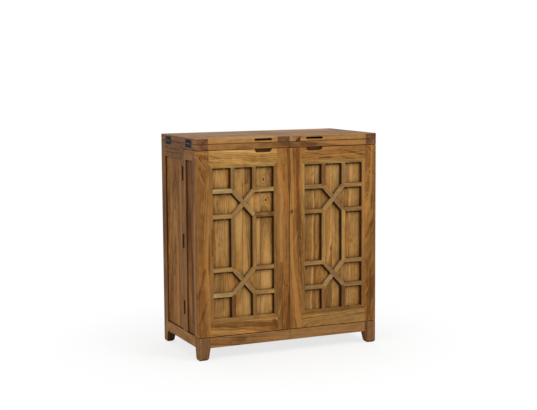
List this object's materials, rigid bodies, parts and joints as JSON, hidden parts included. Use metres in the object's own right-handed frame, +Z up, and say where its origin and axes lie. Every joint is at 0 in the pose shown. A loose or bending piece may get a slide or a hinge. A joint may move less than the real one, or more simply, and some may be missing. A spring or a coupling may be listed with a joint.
{
  "type": "fold-out bar cabinet",
  "caption": "Solid wood bar cabinet: deep lattice-fronted doors swing open half a turn and split top leaves unfold over them into a wide counter.",
  "frame": {"origin": "on the floor under the middle of the closed cabinet", "axes": "+Z up, -Y towards the user in front of the doors, +X to the user's right"},
  "size_m": [0.9094, 0.47, 1],
  "materials": {
    "frame_wood": "satin wax",
    "panel_wood": "satin wax",
    "lattice_wood": "satin wax",
    "top_wood": "satin wax",
    "inside_wood": "matt",
    "hinge_iron": "black waxed",
    "pin_steel": "darkened",
    "catch_black": "matt"
  },
  "bodies": {
    "carcass": {"back_bottom_rail": "frame_wood", "back_panel": "panel_wood", "back_top_rail": "frame_wood", "base_deck": "inside_wood", "bottle_cradles": "inside_wood", "fixed_top_board": "top_wood", "fixed_top_cleats": "top_wood", "front_apron": "frame_wood", "front_leg_left": "frame_wood", "front_leg_right": "frame_wood", "front_stile_left": "frame_wood", "front_stile_right": "frame_wood", "hinge_fixed_plates": "hinge_iron", "hinge_pins": "pin_steel", "magnetic_catches": "catch_black", "middle_shelf": "inside_wood", "rear_post_left": "frame_wood", "rear_post_right": "frame_wood", "side_apron_left": "frame_wood", "side_apron_right": "frame_wood", "side_panel_left": "panel_wood", "side_panel_right": "panel_wood", "side_top_rail_left": "frame_wood", "side_top_rail_right": "frame_wood", "stemware_rails": "inside_wood", "support_battens": "inside_wood"},
    "left_door": {"left_door_bottom_rail": "frame_wood", "left_door_end_boards": "inside_wood", "left_door_gallery_rails": "inside_wood", "left_door_hinge_plates": "hinge_iron", "left_door_inner_side": "inside_wood", "left_door_lattice": "lattice_wood", "left_door_meeting_stile": "frame_wood", "left_door_outer_stile": "frame_wood", "left_door_panel": "panel_wood", "left_door_shelves": "inside_wood", "left_door_side_frame": "frame_wood", "left_door_side_panel": "panel_wood", "left_door_top_rail": "frame_wood"},
    "right_door": {"right_door_bottom_rail": "frame_wood", "right_door_end_boards": "inside_wood", "right_door_gallery_rails": "inside_wood", "right_door_hinge_plates": "hinge_iron", "right_door_inner_side": "inside_wood", "right_door_lattice": "lattice_wood", "right_door_meeting_stile": "frame_wood", "right_door_outer_stile": "frame_wood", "right_door_panel": "panel_wood", "right_door_shelves": "inside_wood", "right_door_side_frame": "frame_wood", "right_door_side_panel": "panel_wood", "right_door_top_rail": "frame_wood"},
    "left_leaf": {"left_leaf_board": "top_wood", "left_leaf_cleats": "top_wood", "left_leaf_hinge_plates": "hinge_iron"},
    "right_leaf": {"right_leaf_board": "top_wood", "right_leaf_cleats": "top_wood", "right_leaf_hinge_plates": "hinge_iron"}
  },
  "joints": [
    {"name": "left_door_swing", "type": "hinge", "parent": "carcass", "child": "left_door", "pos_m": [-0.4515, -0.06, 0.525], "axis": [0, 0, -1], "range_deg": [0, 180]},
    {"name": "right_door_swing", "type": "hinge", "parent": "carcass", "child": "right_door", "pos_m": [0.4515, -0.06, 0.525], "axis": [0, 0, 1], "range_deg": [0, 180]},
    {"name": "left_leaf_fold", "type": "hinge", "parent": "carcass", "child": "left_leaf", "pos_m": [-0.4515, 0, 0.9742], "axis": [0, -1, 0], "range_deg": [0, 180]},
    {"name": "right_leaf_fold", "type": "hinge", "parent": "carcass", "child": "right_leaf", "pos_m": [0.4515, 0, 0.9742], "axis": [0, 1, 0], "range_deg": [0, 180]}
  ]
}
